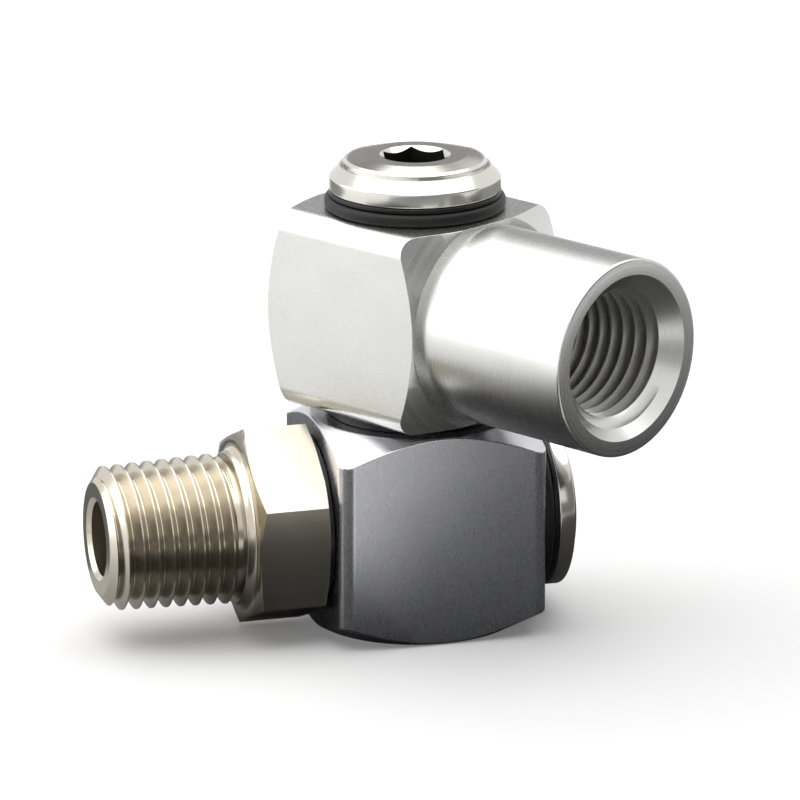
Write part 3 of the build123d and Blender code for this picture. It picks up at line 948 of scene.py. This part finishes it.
class SCENE_OT_swivel_studio(bpy.types.Operator):
    """Floor, lights, dark cards of painted reflection and camera"""

    bl_idname = "scene.swivel_studio"
    bl_label = "Studio"

    def execute(self, context):
        studio = context.scene.swivel_studio
        self.light_world(context.scene)
        self.lay_floor(studio)
        self.hang_lights(studio)
        self.set_flags()
        self.set_camera(context.scene, studio)
        context.scene.view_settings.view_transform = "Standard"
        return {"FINISHED"}

    def seen_directly(self, tree):
        """One for rays from the camera, mirrors and glass; nought for soft light."""
        path = add_node(tree, "ShaderNodeLightPath")
        total = path.outputs["Is Camera Ray"]
        for kind in ("Is Glossy Ray", "Is Transmission Ray"):
            total = add_node(
                tree, "ShaderNodeMath", {0: total, 1: path.outputs[kind]}, operation="ADD"
            ).outputs[0]
        return total

    def light_world(self, scene):
        """White where it is seen, and a weaker fill where it lights."""
        world = bpy.data.worlds.new("studio_white")
        scene.world = world
        world.use_nodes = True
        tree = world.node_tree
        background = tree.nodes["Background"]
        background.inputs["Color"].default_value = (1, 1, 1, 1)
        level = add_node(
            tree, "ShaderNodeMapRange", {0: self.seen_directly(tree), 3: scene.swivel_studio.fill, 4: 1}
        )
        tree.links.new(level.outputs[0], background.inputs["Strength"])

    def lay_floor(self, studio):
        """Matt white paper, far wider than any view of the fitting."""
        select_only()
        bpy.ops.mesh.primitive_plane_add(size=8)
        floor = bpy.context.active_object
        floor.name = "studio_floor"
        material, tree, shader = new_material("matt_floor_paper", studio.floor, 0.9, 0.0)
        shader.inputs["Specular IOR Level"].default_value = 0
        shader.inputs["Emission Color"].default_value = (1, 1, 1, 1)
        # A little of its own light where it is seen, and more of it far from the lamps, so
        # that the paper reaches white as far as the horizon.
        distance = add_node(
            tree, "ShaderNodeVectorMath",
            {0: add_node(tree, "ShaderNodeTexCoord").outputs["Object"]}, operation="LENGTH",
        )
        own_light = add_node(
            tree, "ShaderNodeMapRange",
            {0: distance.outputs["Value"], 1: 0.1, 2: 0.6, 3: studio.floor_glow, 4: studio.far_glow},
        )
        glow = add_node(
            tree, "ShaderNodeMath", {0: self.seen_directly(tree), 1: own_light.outputs[0]},
            operation="MULTIPLY",
        )
        tree.links.new(glow.outputs[0], shader.inputs["Emission Strength"])
        wear(floor, material)

    def soft_box(self, name, size, place, level):
        """Rectangular soft box that faces the fitting, by the brightness of its cloth."""
        select_only()
        bpy.ops.object.light_add(type="AREA", location=place)
        light = bpy.context.active_object
        light.name = name
        light.data.shape = "RECTANGLE"
        light.data.size, light.data.size_y = size
        light.data.energy = level * pi * size[0] * size[1]
        aim = LAMP_AIM - Vector(place)
        light.rotation_euler = aim.to_track_quat("-Z", "Y").to_euler()

    def hang_lights(self, studio):
        """One soft box overhead and one low at the left."""
        self.soft_box("top_soft_box", (0.9, 0.75), (-0.03, 0.05, 0.48), studio.top_level)
        self.soft_box("left_soft_box", (0.6, 0.46), (-0.62, 0.2, 0.24), studio.left_level)

    def flag(self, name, size, place, turn, greys):
        """Card of painted reflection, which only polished metal sees: greys at distances along its own x axis."""
        select_only()
        bpy.ops.mesh.primitive_plane_add(size=1)
        card = bpy.context.active_object
        card.name = name
        card.scale = (*size, 1)
        bpy.ops.object.transform_apply(location=True, rotation=True, scale=True)
        card.location = place
        card.rotation_euler = turn
        material, tree, shader = new_material(name + "_painted_reflection", (0, 0, 0), 1.0, 0.0)
        shader.inputs["Specular IOR Level"].default_value = 0
        split = add_node(
            tree, "ShaderNodeSeparateXYZ",
            {0: add_node(tree, "ShaderNodeTexCoord").outputs["Object"]},
        )
        share = add_node(
            tree, "ShaderNodeMapRange", {0: split.outputs[0], 1: -size[0] / 2, 2: size[0] / 2}
        )
        ramp = add_node(tree, "ShaderNodeValToRGB", {0: share.outputs[0]})
        stops = ramp.color_ramp.elements
        stops[0].color = (*[greys[0][1]] * 3, 1)
        stops[1].color = (*[greys[-1][1]] * 3, 1)
        for distance, grey in greys[1:-1]:
            stops.new(distance / size[0]).color = (grey, grey, grey, 1)
        tree.links.new(ramp.outputs[0], shader.inputs["Base Color"])
        wear(card, material)
        # Only reflections see the card: a painted reflection that neither blocks light nor casts a shadow.
        card.visible_camera = False
        card.visible_diffuse = False
        card.visible_shadow = False

    def front_flag(self, height):
        """Painted reflection of a dark floor in front, whose graded edge runs from the block's corner towards the
        port.
        """
        turn = radians(26.6)
        along = Vector((cos(turn), sin(turn), 0))
        across = Vector((sin(turn), -cos(turn), 0))
        width, depth = 300 * MM, 150 * MM
        place = along * (width / 2 - 22 * MM) + across * (depth / 2 - 15 * MM)
        self.flag(
            "front_flag", (width, depth), (place.x, place.y, height), (0, 0, turn),
            (
                (0, 0.95), (4 * MM, 0.6), (8 * MM, 0.25), (12 * MM, 0.09),
                (78 * MM, 0.05), (98 * MM, 0.1), (121 * MM, 0.2), (300 * MM, 0.35),
            ),
        )

    def set_flags(self):
        """Dark cards of painted reflection on the floor, and upright ones round the fitting."""
        height = 0.05 * MM
        self.front_flag(height)
        for name, size, place, left, right in FLOOR_FLAGS:
            height += 0.01 * MM  # clear of the card below
            width, depth = size[0] * MM, size[1] * MM
            self.flag(
                name, (width, depth), (place[0] * MM, place[1] * MM, height), (0, 0, 0),
                ((0, left), (width, right)),
            )
        for name, size, place, turn, left, right in UPRIGHT_FLAGS:
            self.flag(
                name, size, place, (radians(90), 0, radians(turn)), ((0, left), (size[0], right))
            )

    def set_camera(self, scene, studio):
        """Long lens from a little above, aimed at the fitting's middle."""
        select_only()
        across = cos(studio.elevation)
        back = Vector((
            sin(studio.azimuth) * across, -cos(studio.azimuth) * across, sin(studio.elevation),
        ))
        bpy.ops.object.camera_add(location=CAMERA_AIM + back * studio.distance)
        camera = bpy.context.active_object
        camera.name = "studio_camera"
        camera.rotation_euler = (-back).to_track_quat("-Z", "Y").to_euler()
        camera.data.sensor_width = 36
        camera.data.lens = studio.lens
        camera.data.clip_start = 0.01
        camera.data.clip_end = 50
        camera.data.shift_x = studio.shift_x
        camera.data.shift_y = studio.shift_y
        scene.camera = camera


class VIEW3D_PT_swivel(bpy.types.Panel):
    """Builds the fitting's pieces and the studio"""

    bl_label = "Swivel fitting"
    bl_idname = "VIEW3D_PT_swivel"
    bl_space_type = "VIEW_3D"
    bl_region_type = "UI"
    bl_category = "Swivel"

    def draw(self, context):
        for operator in OPERATORS:
            self.layout.operator(operator.bl_idname)
        for name in SETTINGS:
            box = self.layout.box()
            for prop in getattr(context.scene, name).__annotations__:
                box.prop(getattr(context.scene, name), prop)


OPERATORS = (
    MESH_OT_swivel_block,
    MESH_OT_swivel_port_body,
    MESH_OT_swivel_adapter,
    MESH_OT_swivel_screws,
    MESH_OT_swivel_rings,
    OBJECT_OT_swivel_inner_parts,
    SCENE_OT_swivel_studio,
)
SETTINGS = {
    "swivel_bars": BarStockSizes,
    "swivel_thread": PipeThreadSizes,
    "swivel_adapter": AdapterSizes,
    "swivel_head": ScrewHeadSizes,
    "swivel_finish": FinishColours,
    "swivel_studio": StudioSetup,
}


def register():
    """Makes the settings, the operators and the panel known to Blender."""
    for group in SETTINGS.values():
        bpy.utils.register_class(group)
    for name, group in SETTINGS.items():
        setattr(bpy.types.Scene, name, PointerProperty(type=group))
    for item in (*OPERATORS, VIEW3D_PT_swivel):
        bpy.utils.register_class(item)


def unregister():
    """Takes them all back, last first."""
    for item in reversed((*OPERATORS, VIEW3D_PT_swivel)):
        bpy.utils.unregister_class(item)
    for name, group in reversed(SETTINGS.items()):
        delattr(bpy.types.Scene, name)
        bpy.utils.unregister_class(group)


def main():
    """Builds every piece and the studio."""
    register()
    bpy.ops.mesh.swivel_block()
    bpy.ops.mesh.swivel_port_body()
    bpy.ops.mesh.swivel_adapter()
    bpy.ops.mesh.swivel_screws()
    bpy.ops.mesh.swivel_rings()
    bpy.ops.object.swivel_inner_parts()
    bpy.ops.scene.swivel_studio()


if __name__ == "__main__":
    main()
